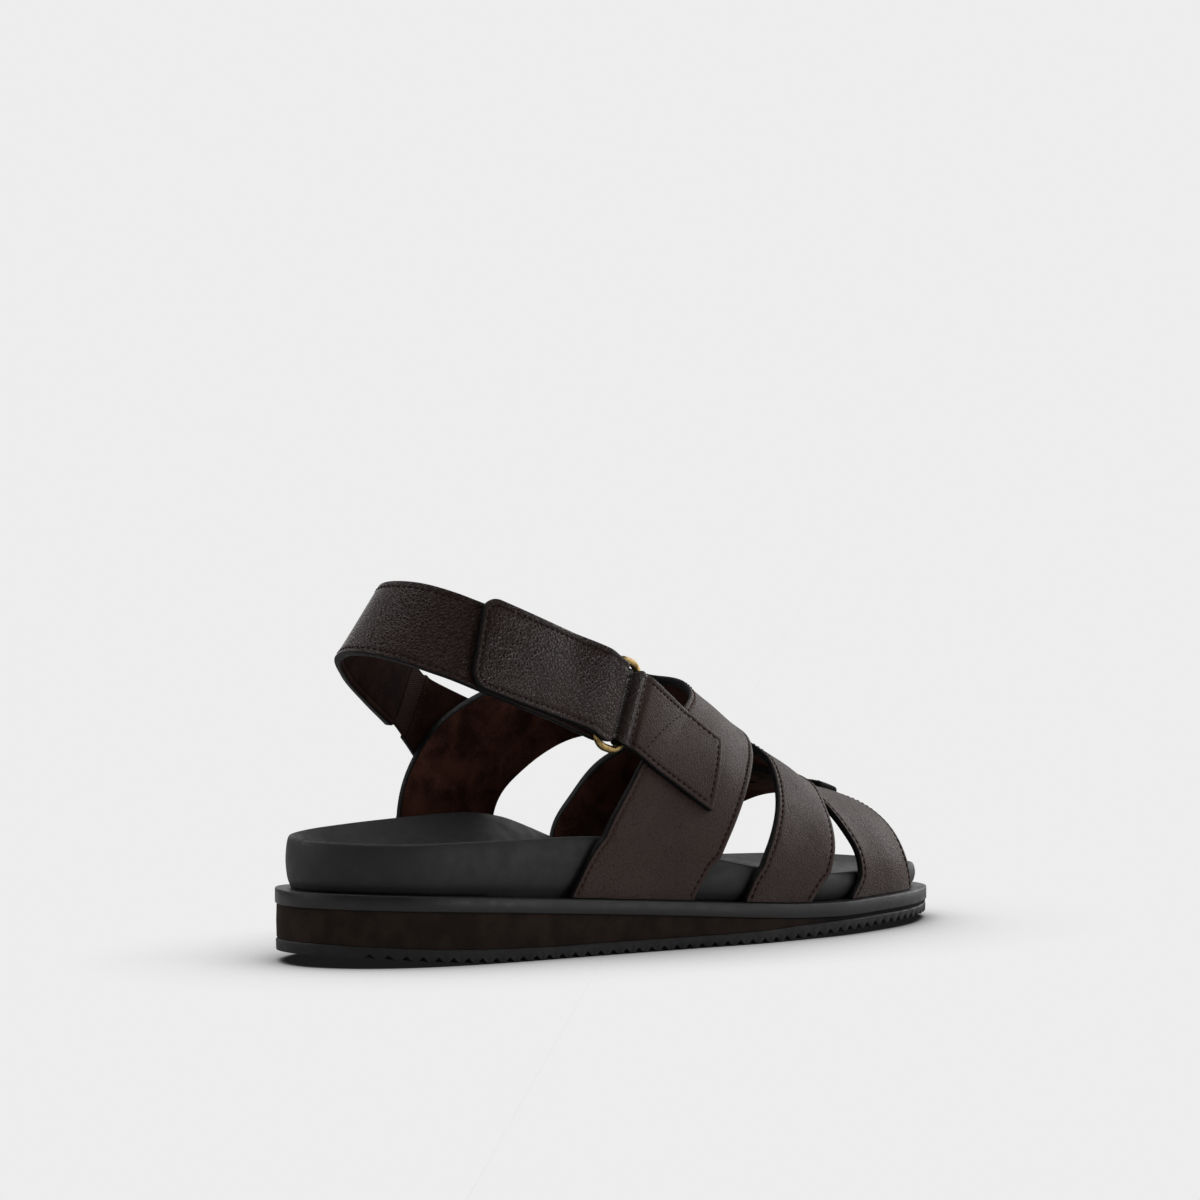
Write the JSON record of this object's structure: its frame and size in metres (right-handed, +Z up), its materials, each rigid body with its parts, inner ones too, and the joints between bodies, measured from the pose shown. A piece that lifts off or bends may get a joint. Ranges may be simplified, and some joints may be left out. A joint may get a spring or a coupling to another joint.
{
  "type": "strappy sandal",
  "caption": "Right open-toe sandal with leather straps over the foot, a ringed heel strap with a folded flap, a cupped footbed and a ribbed wedge sole.",
  "frame": {"origin": "centre of the bounding box, on the floor that the sole stands on", "axes": "+X from heel to toe, +Y to the inner side of the foot, +Z up"},
  "size_m": [0.29, 0.1038, 0.129],
  "materials": {
    "outsole_rubber": "matt",
    "wedge_foam": "matt, suede-like",
    "welt_rubber": "matt",
    "footbed_foam": "satin",
    "leather": "pebbled, satin",
    "stretch_tape": "woven, matt",
    "brass": "antique, satin"
  },
  "bodies": {
    "root": {"outsole": "outsole_rubber", "midsole": "wedge_foam", "welt": "welt_rubber", "footbed": "footbed_foam", "upper": "leather", "heel_strap": "leather", "stretch_insert": "stretch_tape", "inner_tab": "leather", "ring_tab": "leather", "ring": "brass"}
  },
  "joints": []
}
